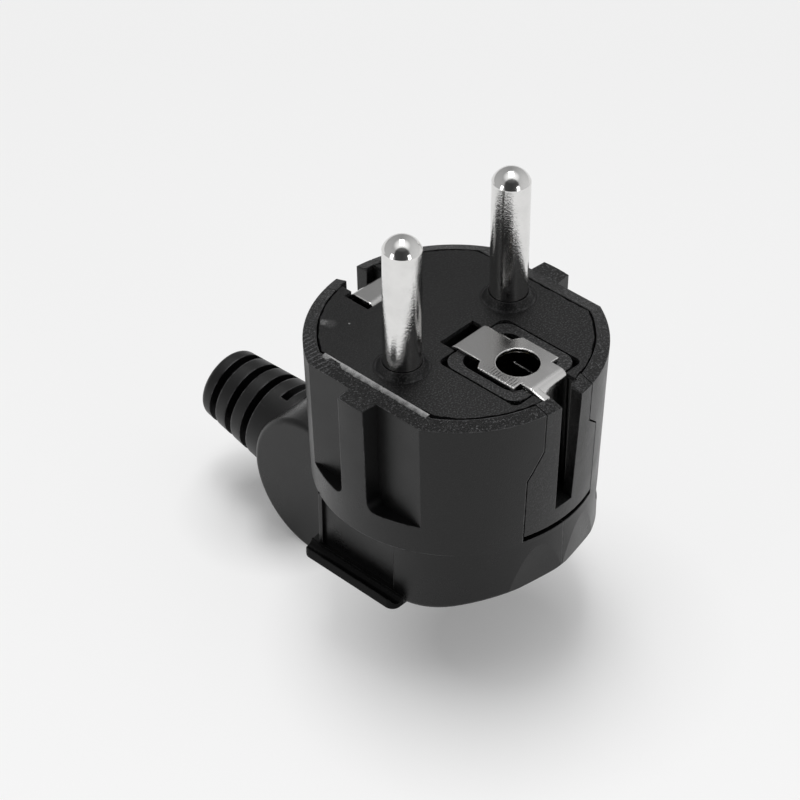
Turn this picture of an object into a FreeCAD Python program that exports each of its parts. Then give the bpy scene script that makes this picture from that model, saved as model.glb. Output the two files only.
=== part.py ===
"""Right-angle rewirable mains plug with two round contact pins and sprung earth contacts.

Sizes are in millimetres. X runs along the line of the two pins, Y along the line of the two earth
slots with the cable outlet towards +Y, and Z along the pins. The origin is the centre of the
engagement face, and depths are measured down from that face.
"""
import FreeCAD
import Part
import math
import os

V = FreeCAD.Vector

# Contact pins
PIN_SPACING = 19.0
PIN_DIAMETER = 4.8
PIN_LENGTH = 19.0
PIN_DOME_HEIGHT = 1.65
PIN_SEAT_DEPTH = 9.0
PIN_HEAD_DIAMETER = 6.6
PIN_HEAD_LENGTH = 7.5
PIN_NECK_DIAMETER = 4.5
PIN_CLEARANCE = 0.05
PIN_NECK_DROP = 0.05
WIRE_HOLE_DIAMETER = 2.8
WIRE_HOLE_DEPTH = 6.0

# Barrel of the housing, which enters the socket
BARREL_DIAMETER = 37.3
BARREL_DEPTH = 20.4
BARREL_DRAFT = 1.8
FLAT_SPACING = 32.6
RIM_WIDTH = 1.7
FLAT_RIM_WIDTH = 2.05
RIM_DROP = 0.56
KEY_WIDTH = 4.0
KEY_ROOT_WIDTH = 4.4
POCKET_DEPTH = 16.2
POCKET_CORNER_RADIUS = 1.4
WALL = 1.8

# Base of the housing, below the barrel
BASE_WIDTH = 32.6
BASE_DEPTH = 29.9
BASE_BEVEL_RISE = 2.7
BASE_BEVEL_START = -9.0
BASE_BLEND_ANGLE = 45.0
BASE_REAR = 8.0
BASE_EDGE_RADIUS = 0.7
BASE_CREASE_RADIUS = 20.0
BASE_FACET_ANGLE = 25.5
BASE_FACET_DROP = 1.0
PANEL_FRONT = -4.8
PANEL_REAR = 7.4
PANEL_DEPTH = 28.6
PANEL_RECESS = 0.4
LIP_LENGTH = 15.7
LIP_CENTRE = 1.35
LIP_REACH = 1.9
LIP_HEIGHT = 1.4
LIP_END_RADIUS = 1.2
GUTTER_RADIUS = 0.8
GUTTER_SINK = 0.7

# Elbow that carries the cable outlet
ELBOW_WIDTH = 16.0
ELBOW_DIAMETER = 21.0
ELBOW_CENTRE = 17.9
ELBOW_DEPTH = 31.2
ELBOW_EDGE_RADIUS = 0.8

# Cable boot
CORD_DIAMETER = 6.4
CORD_CLEARANCE = 0.1
BOOT_TILT = 5.2
BOOT_AXIS_DROP = 1.5
BOOT_REACH = 24.0
BOOT_END_DIAMETER = 10.0
BOOT_ROOT_DIAMETER = 12.6
BOOT_END_RADIUS = 1.0
BOOT_NECK_DIAMETER = 10.0
BOOT_FLANGE_DIAMETER = 12.4
BOOT_FLANGE_THICKNESS = 1.6
BOOT_CLEARANCE = 0.1
BOOT_SLOT_COUNT = 4
BOOT_SLOT_FIRST = 2.7
BOOT_SLOT_PITCH = 3.2
BOOT_SLOT_WIDTH = 1.2
BOOT_SLOT_FLOOR = 0.45
BOOT_WEB_ANGLE = 90.0
BOOT_ROOT_WEB_ANGLE = 150.0

# Contact carrier
PLATE_THICKNESS = 2.6
CARRIER_CLEARANCE = 0.15
COLLAR_DIAMETER = 6.55
COLLAR_HEIGHT = 0.95
COLLAR_EDGE = 0.1
COLLAR_GAP = 0.1
COLLAR_MOUTH_DEPTH = 0.3
BOSS_DIAMETER = 8.4
BLOCK_WIDTH = 8.0
BLOCK_FOOT_WIDTH = 12.2
BLOCK_SHOULDER_DEPTH = 6.3
BLOCK_LEFT_SHOULDER = 3.9
BLOCK_RIGHT_SHOULDER = 2.0
BLOCK_DEPTH = 19.0
BLOCK_THICKNESS = 5.1
BLOCK_GAP = 0.15
BLOCK_SLIT = 0.85
SLOT_WIDTH = 3.66
SLOT_FOOT_WIDTH = 2.95
SLOT_LEAN = 0.25
SLOT_FLOOR = 2.3
SLOT_LIP = 1.85
WELL_WIDTH = 8.8
WELL_FRONT_REACH = 3.4
WELL_REAR_REACH = 6.0
WELL_CORNER_RADIUS = 2.0
WELL_WALL = 1.2
WELL_RISE = 1.7
FRAME_LEDGE = 1.6
FRAME_POCKET_RADIUS = 0.9
FRAME_GAP = 0.3
FRAME_THICKNESS = 1.6

# Earth contacts, their bridge and the earth socket
STRIP_WIDTH = 5.6
STRIP_THICKNESS = 0.55
STRIP_CLEARANCE = 0.15
STRIP_SETBACK = 1.4
STRIP_BEND_RADIUS = 0.9
STRIP_TAIL = 6.0
STRIP_FOOT_LENGTH = 5.8
EARTH_HOLE_DIAMETER = 5.4
EARTH_HOLE_INSET = 8.65
EARTH_PLATE_WIDTH = 8.1
EARTH_PLATE_LENGTH = 5.7
EARTH_PLATE_CORNER = 0.7
EARTH_TAB_WIDTH = 1.0
EARTH_TAB_REACH = 1.2
EARTH_TAB_FALL = 0.6
FRONT_TAIL_REACH = 8.25
TAIL_WINDOW = 2.8
REAR_TAIL_INSET = 7.45
REAR_STRIP_SINK = 0.35
REAR_WINDOW_WIDTH = 8.4
BRIDGE_THICKNESS = 0.8
BRIDGE_END_GAP = 1.2
SPRING_THICKNESS = 0.4
SPRING_WIDTH = 6.0
SPRING_SHIFT = 0.4
SPRING_SPREAD = 7.1
SPRING_TOP_SPREAD = 6.3
SPRING_GRIP_GAP = 0.05
SPRING_BEND_RADIUS = 0.6
SPRING_TOP_DEPTH = 2.9
SPRING_GRIP_DEPTH = 5.2
SPRING_ROOT_RISE = 2.7

# Fasteners
RIVET_DIAMETER = 2.0
RIVET_HEAD_DIAMETER = 3.0
RIVET_HEAD_HEIGHT = 0.6
RIVET_INSET = 1.2
TERMINAL_SCREW_DIAMETER = 3.0
TERMINAL_SCREW_HEAD_DIAMETER = 4.8
TERMINAL_SCREW_HEAD_HEIGHT = 1.6
PIN_SCREW_TIP = 0.9
EARTH_SCREW_LENGTH = 4.2
EARTH_SCREW_GAP = 1.5
EARTH_NUT_WIDTH = 5.5
EARTH_NUT_THICKNESS = 2.0
EARTH_WASHER_WIDTH = 6.6
EARTH_WASHER_THICKNESS = 0.8
CLAMP_OFFSET = 2.0
CLAMP_WIDTH = 3.2
CLAMP_LENGTH = 11.6
CLAMP_THICKNESS = 1.8
CLAMP_SEAT = 2.6
CLAMP_PILLAR_DIAMETER = 3.8
CLAMP_SCREW_SPACING = 8.8
CLAMP_SCREW_DIAMETER = 2.4
CLAMP_SCREW_HEAD_DIAMETER = 3.8
CLAMP_SCREW_HEAD_HEIGHT = 1.4
CLAMP_SCREW_LENGTH = 7.0
HOUSING_SCREW_DIAMETER = 3.0
HOUSING_SCREW_HEAD_DIAMETER = 5.5
HOUSING_SCREW_HEAD_HEIGHT = 1.8
HOUSING_SCREW_LENGTH = 11.5
HOUSING_SCREW_SEAT = 5.0
HOUSING_BOSS_DIAMETER = 7.4
BASE_SCREW_OFFSET = -12.5
BASE_SCREW_DEPTH = 22.9
ELBOW_SCREW_RADIUS = 6.2
ELBOW_SCREW_ANGLE = 225.0
THREAD_CLEARANCE = 0.03
HEAD_CLEARANCE = 0.2
SCREW_SLOT_WIDTH = 0.7
SCREW_SLOT_DEPTH = 0.8

# Sizes that follow from the ones above
BARREL_R = BARREL_DIAMETER / 2
DRAFT = math.tan(math.radians(BARREL_DRAFT))
BARREL_FOOT_R = BARREL_R - DRAFT * (BARREL_DEPTH - RIM_DROP)
FLAT_X = FLAT_SPACING / 2
SEAM_R = BARREL_R - RIM_WIDTH
SEAM_FLAT_X = FLAT_X - FLAT_RIM_WIDTH
BASE_X = BASE_WIDTH / 2
PIN_NECK_TOP = COLLAR_HEIGHT - PIN_NECK_DROP
ELBOW_X = ELBOW_WIDTH / 2
ELBOW_R = ELBOW_DIAMETER / 2
SLOT_FACE = BARREL_R - SLOT_LIP
SLOT_DEPTH = BLOCK_DEPTH - SLOT_FLOOR
STRIP_LINE = SLOT_FACE - STRIP_SETBACK - STRIP_THICKNESS / 2
BLOCK_FACE = BARREL_R - BLOCK_THICKNESS
EARTH_HOLE_OFFSET = BARREL_R - EARTH_HOLE_INSET
FRONT_TAIL_OFFSET = EARTH_HOLE_OFFSET - FRONT_TAIL_REACH
REAR_TAIL_OFFSET = BARREL_R - REAR_TAIL_INSET
WELL_FRONT = -EARTH_HOLE_OFFSET - WELL_FRONT_REACH
WELL_REAR = -EARTH_HOLE_OFFSET + WELL_REAR_REACH
SLOT_HEAD = FRAME_LEDGE - WELL_FRONT - STRIP_CLEARANCE
FOOT_LINE = SLOT_DEPTH - STRIP_CLEARANCE - STRIP_THICKNESS / 2
BRIDGE_BOTTOM = STRIP_THICKNESS / 2 - FOOT_LINE
BRIDGE_TOP = BRIDGE_BOTTOM + BRIDGE_THICKNESS
WELL_DEPTH = -BRIDGE_TOP - WELL_RISE
SPRING_ROOT_DEPTH = -BRIDGE_TOP - SPRING_ROOT_RISE
FOOT_END = STRIP_LINE - STRIP_FOOT_LENGTH
RIVET_LINE = FOOT_END + RIVET_INSET
EARTH_SCREW_OFFSET = FOOT_END - EARTH_SCREW_GAP - EARTH_WASHER_WIDTH / 2
BOOT_AXIS = V(0, math.cos(math.radians(BOOT_TILT)), math.sin(math.radians(BOOT_TILT)))
BOOT_ORIGIN = V(0, ELBOW_CENTRE, -ELBOW_DEPTH - BOOT_AXIS_DROP)
CLAMP_CENTRE = BOOT_ORIGIN + BOOT_AXIS * CLAMP_OFFSET
BASE_SCREW = V(0, BASE_SCREW_OFFSET, -BASE_SCREW_DEPTH)
ELBOW_SCREW = V(
    0,
    ELBOW_CENTRE + ELBOW_SCREW_RADIUS * math.cos(math.radians(ELBOW_SCREW_ANGLE)),
    ELBOW_SCREW_RADIUS * math.sin(math.radians(ELBOW_SCREW_ANGLE)) - ELBOW_DEPTH,
)
FAR = 2 * BARREL_DIAMETER


def box(x, y, z):
    """Box between pairs of coordinates."""
    return Part.makeBox(x[1] - x[0], y[1] - y[0], z[1] - z[0], V(x[0], y[0], z[0]))


def centred(width):
    """Pair of coordinates of a width that is centred on zero."""
    return -width / 2, width / 2


def rod(radius, start, end):
    """Cylinder from one point to another."""
    return Part.makeCylinder(radius, (end - start).Length, start, end - start)


def prism(points, travel):
    """Closed polygon carried along a vector."""
    return Part.Face(Part.makePolygon(points + points[:1])).extrude(travel)


def line(start, end):
    return Part.LineSegment(start, end).toShape()


def arc(start, middle, end):
    return Part.Arc(start, middle, end).toShape()


def flatted_circle(radius, flat, z):
    """Circle with a flat on each side, parallel to Y."""
    y = math.sqrt(radius ** 2 - flat ** 2)
    right_front, right_rear = V(flat, -y, z), V(flat, y, z)
    left_front, left_rear = V(-flat, -y, z), V(-flat, y, z)
    return Part.Wire([
        line(right_front, right_rear),
        arc(right_rear, V(0, radius, z), left_rear),
        line(left_rear, left_front),
        arc(left_front, V(0, -radius, z), right_front),
    ])


def rounded_block(x, y, z, radius):
    """Box with rounded upright edges."""
    block = box(x, y, z)
    upright = [e for e in block.Edges if abs(e.tangentAt(e.FirstParameter).z) > 0.5]
    return block.makeFillet(radius, upright)


def bent_strip(path, radius, thickness, width):
    """Sheet strip bent along a path, with straight runs and round bends; width is a vector across it."""
    across = V(width).normalize()
    runs = [(b - a).normalize() for a, b in zip(path, path[1:])]
    edges, ends = [], []
    for offset in (thickness / 2, -thickness / 2):
        here = path[0] + across.cross(runs[0]) * offset
        ends.append(here)
        for corner, before, after in zip(path[1:-1], runs, runs[1:]):
            half_turn = before.getAngle(after) / 2
            reach = radius * math.tan(half_turn)
            inward = (after - before).normalize()
            centre = corner + inward * (radius / math.cos(half_turn))
            side = 1 if across.cross(before).dot(inward) > 0 else -1
            start = corner - before * reach + across.cross(before) * offset
            end = corner + after * reach + across.cross(after) * offset
            edges += [line(here, start), arc(start, centre - inward * (radius - side * offset), end)]
            here = end
        tail = path[-1] + across.cross(runs[-1]) * offset
        edges.append(line(here, tail))
        ends.append(tail)
    edges += [line(ends[0], ends[2]), line(ends[1], ends[3])]
    strip = Part.Face(Part.Wire(Part.__sortEdges__(edges))).extrude(width)
    strip.translate(width * -0.5)
    return strip


def slotted_screw(diameter, length, head_diameter, head_height, seat, direction):
    """Cheese-head screw: seat is the middle of the head's underside, direction points to the tip."""
    screw = rod(diameter / 2, seat, seat + direction * length)
    top = seat - direction * head_height
    screw = screw.fuse(rod(head_diameter / 2, seat, top)).removeSplitter()
    across = V(0, 0, 1) if abs(direction.z) < 0.5 else V(1, 0, 0)
    side = direction.cross(across)
    corner = top - across * head_diameter - side * (SCREW_SLOT_WIDTH / 2)
    points = [corner, corner + across * (2 * head_diameter)]
    points += [p + side * SCREW_SLOT_WIDTH for p in reversed(points)]
    return screw.cut(prism(points, direction * SCREW_SLOT_DEPTH))


def turned_half_round(shape):
    """Copy turned half round about Z, to the other side of the plug."""
    copy = shape.copy()
    copy.rotate(V(0, 0, 0), V(0, 0, 1), 180)
    return copy


def on_both_sides(shape):
    return [shape, turned_half_round(shape)]


def barrel():
    """Round barrel, drawn in towards its foot, whose rim falls from the seam to its outer edge."""
    lower = Part.makeCone(BARREL_FOOT_R, BARREL_R, BARREL_DEPTH - RIM_DROP, V(0, 0, -BARREL_DEPTH))
    sections = [flatted_circle(BARREL_R, FLAT_X, -RIM_DROP), flatted_circle(SEAM_R, SEAM_FLAT_X, 0)]
    return lower.fuse(Part.makeLoft(sections, True, True))


def flat_pockets():
    """Pockets on either side of the key, which leave a flat on the side of the barrel."""
    foot_x = FLAT_X - DRAFT * (POCKET_DEPTH - RIM_DROP)
    outer_x = BARREL_R + WALL
    side = [(FLAT_X, 0), (FLAT_X, -RIM_DROP), (foot_x, -POCKET_DEPTH), (outer_x, -POCKET_DEPTH), (outer_x, 0)]
    pockets = prism([V(x, -BARREL_R, z) for x, z in side], V(0, BARREL_DIAMETER, 0))
    root = KEY_ROOT_WIDTH / 2
    slope = (KEY_ROOT_WIDTH - KEY_WIDTH) / 2 / (BARREL_R - FLAT_X)
    tip_x = outer_x + WALL
    tip = root - slope * (tip_x - FLAT_X)
    key = [V(FLAT_X - WALL, root, 0), V(FLAT_X, root, 0), V(tip_x, tip, 0)]
    key += [V(p.x, -p.y, 0) for p in reversed(key)]
    pockets = pockets.cut(prism(key, V(0, 0, -FAR)))
    corners = [
        e for e in pockets.Edges
        if abs(e.CenterOfMass.y) < root and abs(e.CenterOfMass.z + POCKET_DEPTH) < 0.01
    ]
    return pockets.makeFillet(POCKET_CORNER_RADIUS, corners)


def block_outline(growth, slit):
    """Front view of an earth block: narrow above, wide below its sloping shoulders."""
    half, foot_half = BLOCK_WIDTH / 2 + growth, BLOCK_FOOT_WIDTH / 2 + growth
    shoulder = -BLOCK_SHOULDER_DEPTH + growth

    def side(sign, height):
        return [
            V(sign * half, 0, RIM_DROP),
            V(sign * half, 0, shoulder),
            V(sign * foot_half, 0, shoulder - height),
            V(sign * foot_half, 0, -BLOCK_DEPTH - slit),
        ]

    return side(1, BLOCK_RIGHT_SHOULDER) + side(-1, BLOCK_LEFT_SHOULDER)[::-1]


def base_plan(z):
    """Plan of the base: round at the front, flat at the sides, drawn in towards the elbow."""
    angle = math.radians(BASE_BLEND_ANGLE)
    centre = (BARREL_FOOT_R - BASE_X) / (1 - math.sin(angle))
    radius = BARREL_FOOT_R - centre
    centre_x, centre_y = centre * math.sin(angle), -centre * math.cos(angle)
    half_way = (math.radians(90) - angle) / 2
    blend = V(BARREL_FOOT_R * math.sin(angle), -BARREL_FOOT_R * math.cos(angle), z)
    turn = V(centre_x + radius * math.cos(half_way), centre_y - radius * math.sin(half_way), z)
    side = [V(BASE_X, centre_y, z), V(BASE_X, BASE_REAR, z), V(ELBOW_X, ELBOW_CENTRE - WALL, z)]

    def mirrored(p):
        return V(-p.x, p.y, p.z)

    right = [arc(blend, turn, side[0])] + [line(a, b) for a, b in zip(side, side[1:])]
    left = [line(mirrored(b), mirrored(a)) for a, b in zip(side, side[1:])][::-1]
    left.append(arc(mirrored(side[0]), mirrored(turn), mirrored(blend)))
    front = arc(mirrored(blend), V(0, -BARREL_FOOT_R, z), blend)
    return Part.Wire([front] + right + [line(side[-1], mirrored(side[-1]))] + left)


def base_block(inset, top):
    """Base with its bevelled front, shrunk all round by an inset."""
    bottom = inset - BASE_DEPTH
    plan = base_plan(bottom)
    if inset:
        plan = plan.makeOffset2D(-inset)
    block = Part.Face(plan).extrude(V(0, 0, top - bottom))
    slope = BASE_BEVEL_RISE / (BARREL_FOOT_R + BASE_BEVEL_START)
    front = BASE_BEVEL_START - BARREL_DIAMETER
    wedge = [
        V(-BARREL_DIAMETER, BASE_BEVEL_START, bottom),
        V(-BARREL_DIAMETER, front, bottom + slope * BARREL_DIAMETER),
        V(-BARREL_DIAMETER, front, bottom),
    ]
    return block.cut(prism(wedge, V(2 * BARREL_DIAMETER, 0, 0)))


def rounded_base():
    """Base with its lower edges rounded."""
    block = base_block(0, -BARREL_DEPTH)
    crease = V(0, BASE_BEVEL_START, -BASE_DEPTH)
    block = block.makeFillet(BASE_CREASE_RADIUS, [
        e for e in block.Edges if e.CenterOfMass.distanceToPoint(crease) < BASE_EDGE_RADIUS
    ])
    low = [e for e in block.Edges if e.BoundBox.ZMax < BASE_BEVEL_RISE + BASE_EDGE_RADIUS - BASE_DEPTH]
    creases = [
        e for e in low
        if isinstance(e.Curve, Part.Line) and e.BoundBox.YLength < WALL and e.CenterOfMass.y < BASE_REAR
    ]
    return block.makeFillet(BASE_EDGE_RADIUS, [e for e in low if e not in creases])


def base_facets():
    """Cuts of the flats at the front of the base, one on each half shell, which run out upwards."""
    half = math.radians(BASE_FACET_ANGLE / 2)
    top, low = BARREL_DEPTH + BASE_FACET_DROP, BASE_DEPTH + WALL
    slope = BARREL_FOOT_R * (1 - math.cos(half)) / (BASE_DEPTH - BASE_BEVEL_RISE - top)
    outer_r = BARREL_FOOT_R + slope * BASE_FACET_DROP
    inner_r = BARREL_FOOT_R - slope * (low - top)
    section = [(outer_r, -BARREL_DEPTH), (inner_r, -low)]
    section += [(BARREL_DIAMETER, -low), (BARREL_DIAMETER, -BARREL_DEPTH)]
    facets = []
    for side in (-1, 1):
        out = V(side * math.sin(half), -math.cos(half), 0)
        along = V(out.y, -out.x, 0) * BARREL_DIAMETER
        facets.append(prism([out * r + V(0, 0, z) - along * 0.5 for r, z in section], along))
    return facets


def finger_lip():
    """Bar along the foot of the side panel, with a gutter along its top for the finger tips."""
    x = (BASE_X - WALL, BASE_X + LIP_REACH)
    y = (LIP_CENTRE - LIP_LENGTH / 2, LIP_CENTRE + LIP_LENGTH / 2)
    lip = box(x, y, (-BASE_DEPTH, LIP_HEIGHT - BASE_DEPTH))
    ends = [
        e for e in lip.Edges
        if abs(e.tangentAt(e.FirstParameter).z) > 0.5 and e.CenterOfMass.x > BASE_X
    ]
    lip = lip.makeFillet(LIP_END_RADIUS, ends)
    gutter = V(BASE_X + LIP_REACH / 2, 0, LIP_HEIGHT - BASE_DEPTH - GUTTER_SINK + GUTTER_RADIUS)
    travel = V(0, LIP_LENGTH, 0)
    return lip.cut(rod(GUTTER_RADIUS, gutter - travel, gutter + travel))


def elbow():
    """Disc-shaped elbow with flat cheeks, and the neck that joins it to the barrel."""
    centre = V(0, ELBOW_CENTRE, -ELBOW_DEPTH)
    disc = rod(ELBOW_R, centre - V(ELBOW_X, 0, 0), centre + V(ELBOW_X, 0, 0))
    disc = disc.makeFillet(ELBOW_EDGE_RADIUS, [e for e in disc.Edges if e.Closed])
    neck = box(centred(ELBOW_WIDTH), (ELBOW_CENTRE - ELBOW_R, ELBOW_CENTRE), (-ELBOW_DEPTH, -BARREL_DEPTH))
    return disc.fuse(neck)


def housing_form():
    """Outer form of the closed housing, without its hollow."""
    base = rounded_base().cut(base_facets())
    form = barrel().cut(on_both_sides(flat_pockets())).fuse([base, elbow()])
    panel_x = (BASE_X - PANEL_RECESS, BASE_X + WALL)
    panel = box(panel_x, (PANEL_FRONT, PANEL_REAR), (-PANEL_DEPTH, -BARREL_DEPTH))
    lip = finger_lip()
    for mirror in (False, True):
        sides = [s.mirror(V(0, 0, 0), V(1, 0, 0)) if mirror else s for s in (panel, lip)]
        form = form.cut(sides[0]).fuse(sides[1])
    return form.removeSplitter()


def housing_hollow():
    """Room inside the housing: for the carrier, the wires, the cord and the boot's neck."""
    floor = WALL - BARREL_DEPTH
    room = Part.Face(flatted_circle(SEAM_R, SEAM_FLAT_X, floor)).extrude(V(0, 0, -floor))
    wiring = base_block(WALL, floor)
    centre, half = V(0, ELBOW_CENTRE, -ELBOW_DEPTH), V(ELBOW_X - WALL, 0, 0)
    disc = rod(ELBOW_R - WALL, centre - half, centre + half)
    passage = box(
        centred(ELBOW_WIDTH - 2 * WALL),
        (ELBOW_CENTRE - ELBOW_R + WALL, ELBOW_CENTRE - WALL),
        (-ELBOW_DEPTH, floor),
    )
    outlet = rod(BOOT_NECK_DIAMETER / 2 + BOOT_CLEARANCE, BOOT_ORIGIN, BOOT_ORIGIN + BOOT_AXIS * BOOT_REACH)
    window = prism(block_outline(BLOCK_GAP, BLOCK_SLIT), V(0, -BARREL_R - WALL, 0))
    return room.fuse([wiring, disc, passage, outlet] + on_both_sides(window))


def housing_shells():
    """The two half shells, with the bosses of the housing screws and the pillars of the cord clamp."""
    form = housing_form()
    reach = V(BASE_X, 0, 0)
    bosses = [rod(HOUSING_BOSS_DIAMETER / 2, p - reach, p + reach) for p in (BASE_SCREW, ELBOW_SCREW)]
    housing = form.cut(housing_hollow()).fuse([b.common(form) for b in bosses])
    holes = []
    for p in (BASE_SCREW, ELBOW_SCREW):
        seat = p + V(HOUSING_SCREW_SEAT, 0, 0)
        tip = seat - V(HOUSING_SCREW_LENGTH + HEAD_CLEARANCE, 0, 0)
        holes.append(rod(HOUSING_SCREW_DIAMETER / 2 + THREAD_CLEARANCE, tip, seat))
        holes.append(rod(HOUSING_SCREW_HEAD_DIAMETER / 2 + HEAD_CLEARANCE, seat, seat + reach))
    housing = housing.cut(holes)
    left = housing.common(box((-FAR, 0), (-FAR, FAR), (-FAR, FAR)))
    right = housing.common(box((0, FAR), (-FAR, FAR), (-FAR, FAR)))
    for p in clamp_screw_places():
        wall = V(WALL / 2 - ELBOW_X, p.y, p.z)
        left = left.fuse(rod(CLAMP_PILLAR_DIAMETER / 2, wall, V(CLAMP_SEAT, p.y, p.z)))
        tip = p - V(CLAMP_SCREW_LENGTH - CLAMP_THICKNESS + HEAD_CLEARANCE, 0, 0)
        left = left.cut(rod(CLAMP_SCREW_DIAMETER / 2 + THREAD_CLEARANCE, tip, p))
    return left.removeSplitter(), right.removeSplitter()


def housing_screws():
    """The two screws that close the half shells, put in from the right."""
    return Part.makeCompound([
        slotted_screw(
            HOUSING_SCREW_DIAMETER, HOUSING_SCREW_LENGTH, HOUSING_SCREW_HEAD_DIAMETER,
            HOUSING_SCREW_HEAD_HEIGHT, p + V(HOUSING_SCREW_SEAT, 0, 0), V(-1, 0, 0),
        )
        for p in (BASE_SCREW, ELBOW_SCREW)
    ])


def clamp_screw_places():
    """Middles of the clamp screws, where their pillars end."""
    return [
        V(CLAMP_SEAT, CLAMP_CENTRE.y, CLAMP_CENTRE.z + side * CLAMP_SCREW_SPACING / 2)
        for side in (-1, 1)
    ]


def cord_clamp():
    """Bar that presses the cord against the left shell, hollowed to the cord."""
    bar = box(
        (CLAMP_SEAT, CLAMP_SEAT + CLAMP_THICKNESS),
        (CLAMP_CENTRE.y - CLAMP_WIDTH / 2, CLAMP_CENTRE.y + CLAMP_WIDTH / 2),
        (CLAMP_CENTRE.z - CLAMP_LENGTH / 2, CLAMP_CENTRE.z + CLAMP_LENGTH / 2),
    )
    travel = BOOT_AXIS * ELBOW_R
    cuts = [rod(CORD_DIAMETER / 2, CLAMP_CENTRE - travel, CLAMP_CENTRE + travel)]
    for p in clamp_screw_places():
        cuts.append(rod(CLAMP_SCREW_DIAMETER / 2 + THREAD_CLEARANCE, p, p + V(CLAMP_THICKNESS, 0, 0)))
    return bar.cut(cuts)


def cord_clamp_screws():
    return Part.makeCompound([
        slotted_screw(
            CLAMP_SCREW_DIAMETER, CLAMP_SCREW_LENGTH, CLAMP_SCREW_HEAD_DIAMETER,
            CLAMP_SCREW_HEAD_HEIGHT, p + V(CLAMP_THICKNESS, 0, 0), V(-1, 0, 0),
        )
        for p in clamp_screw_places()
    ])


def cable_boot():
    """Tapered sleeve with cross slots, saddled on the elbow and held by a flange inside it."""
    end = BOOT_ORIGIN + BOOT_AXIS * BOOT_REACH
    outside = BOOT_REACH - ELBOW_R
    growth = (BOOT_ROOT_DIAMETER - BOOT_END_DIAMETER) / 2 / outside
    overlap = ELBOW_R / 2
    root = BOOT_ROOT_DIAMETER / 2 + growth * overlap
    sleeve = Part.makeCone(BOOT_END_DIAMETER / 2, root, outside + overlap, end, BOOT_AXIS * -1)
    sleeve = sleeve.makeFillet(BOOT_END_RADIUS, [
        e for e in sleeve.Edges if e.Closed and e.CenterOfMass.distanceToPoint(end) < 0.01
    ])
    half = V(ELBOW_WIDTH, 0, 0)
    centre = V(0, ELBOW_CENTRE, -ELBOW_DEPTH)
    sleeve = sleeve.cut(rod(ELBOW_R + BOOT_CLEARANCE, centre - half, centre + half))
    inner_r = ELBOW_R - WALL - BOOT_CLEARANCE
    behind = BOOT_ORIGIN + BOOT_AXIS * (inner_r - BOOT_FLANGE_THICKNESS)
    neck = rod(BOOT_NECK_DIAMETER / 2, behind, BOOT_ORIGIN + BOOT_AXIS * (ELBOW_R + WALL))
    flange = rod(BOOT_FLANGE_DIAMETER / 2, behind, BOOT_ORIGIN + BOOT_AXIS * ELBOW_R)
    flange = flange.common(rod(inner_r, centre - half, centre + half))
    bore_r = CORD_DIAMETER / 2 + CORD_CLEARANCE
    bore = rod(bore_r, BOOT_ORIGIN, end + BOOT_AXIS)
    boot = sleeve.fuse([neck, flange]).cut(bore)
    return boot.cut(boot_slots(end, bore_r + BOOT_SLOT_FLOOR)).removeSplitter()


def boot_slots(end, floor_r):
    """Ring cuts across the boot: each leaves a web on the right, the one at the root on the left."""
    webs = [(1, BOOT_WEB_ANGLE)] * (BOOT_SLOT_COUNT - 1) + [(-1, BOOT_ROOT_WEB_ANGLE)]
    slots = []
    for i, (side, angle) in enumerate(webs):
        near = end - BOOT_AXIS * (BOOT_SLOT_FIRST + i * BOOT_SLOT_PITCH - BOOT_SLOT_WIDTH / 2)
        travel = BOOT_AXIS * -BOOT_SLOT_WIDTH
        ring = rod(BOOT_ROOT_DIAMETER, near, near + travel).cut(rod(floor_r, near, near + travel))
        web = math.tan(math.radians(angle / 2)) * BOOT_ROOT_DIAMETER
        rise = BOOT_AXIS.cross(V(1, 0, 0)).normalize() * web
        tip = near + V(side * BOOT_ROOT_DIAMETER, 0, 0)
        slots.append(ring.cut(prism([near, tip - rise, tip + rise], travel)))
    return slots


def earth_block():
    """Block that carries an earth slot, flush with the barrel; this one is at the front."""
    block = prism(block_outline(0, 0), V(0, -BARREL_DIAMETER, 0)).common(barrel())
    return block.common(box((-FAR, FAR), (-FAR, -BLOCK_FACE), (-FAR, FAR)))


def earth_slot():
    """Cut of an earth slot: the mouth, the channel of the strip and the way in for its foot."""
    channel = STRIP_WIDTH + 2 * STRIP_CLEARANCE
    back = STRIP_LINE - STRIP_THICKNESS / 2 - STRIP_CLEARANCE
    shelf = BRIDGE_TOP + STRIP_CLEARANCE
    bend = REAR_STRIP_SINK + STRIP_BEND_RADIUS + STRIP_THICKNESS / 2
    top, foot = SLOT_WIDTH / 2, SLOT_FOOT_WIDTH / 2
    front = [V(-top, 0, RIM_DROP), V(top, 0, RIM_DROP)]
    front += [V(x - SLOT_LEAN, 0, -SLOT_DEPTH) for x in (foot, -foot)]
    mouth = prism([p - V(0, SLOT_FACE, 0) for p in front], V(0, -BARREL_R, 0))
    run = box(centred(channel), (-SLOT_FACE, -back), (-SLOT_DEPTH, RIM_DROP))
    head = box(centred(channel), (-SLOT_FACE, -SLOT_HEAD), (-bend, RIM_DROP))
    way_in = box(centred(channel), (-SLOT_FACE, WALL - BLOCK_FACE), (-SLOT_DEPTH, shelf))
    return mouth.fuse([run, head, way_in])


def well_box(growth, z, radius=WELL_CORNER_RADIUS):
    """Rounded box round the earth well, grown on all sides."""
    y = (WELL_FRONT - growth, WELL_REAR + growth)
    return rounded_block(centred(WELL_WIDTH + 2 * growth), y, z, radius)


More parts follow.
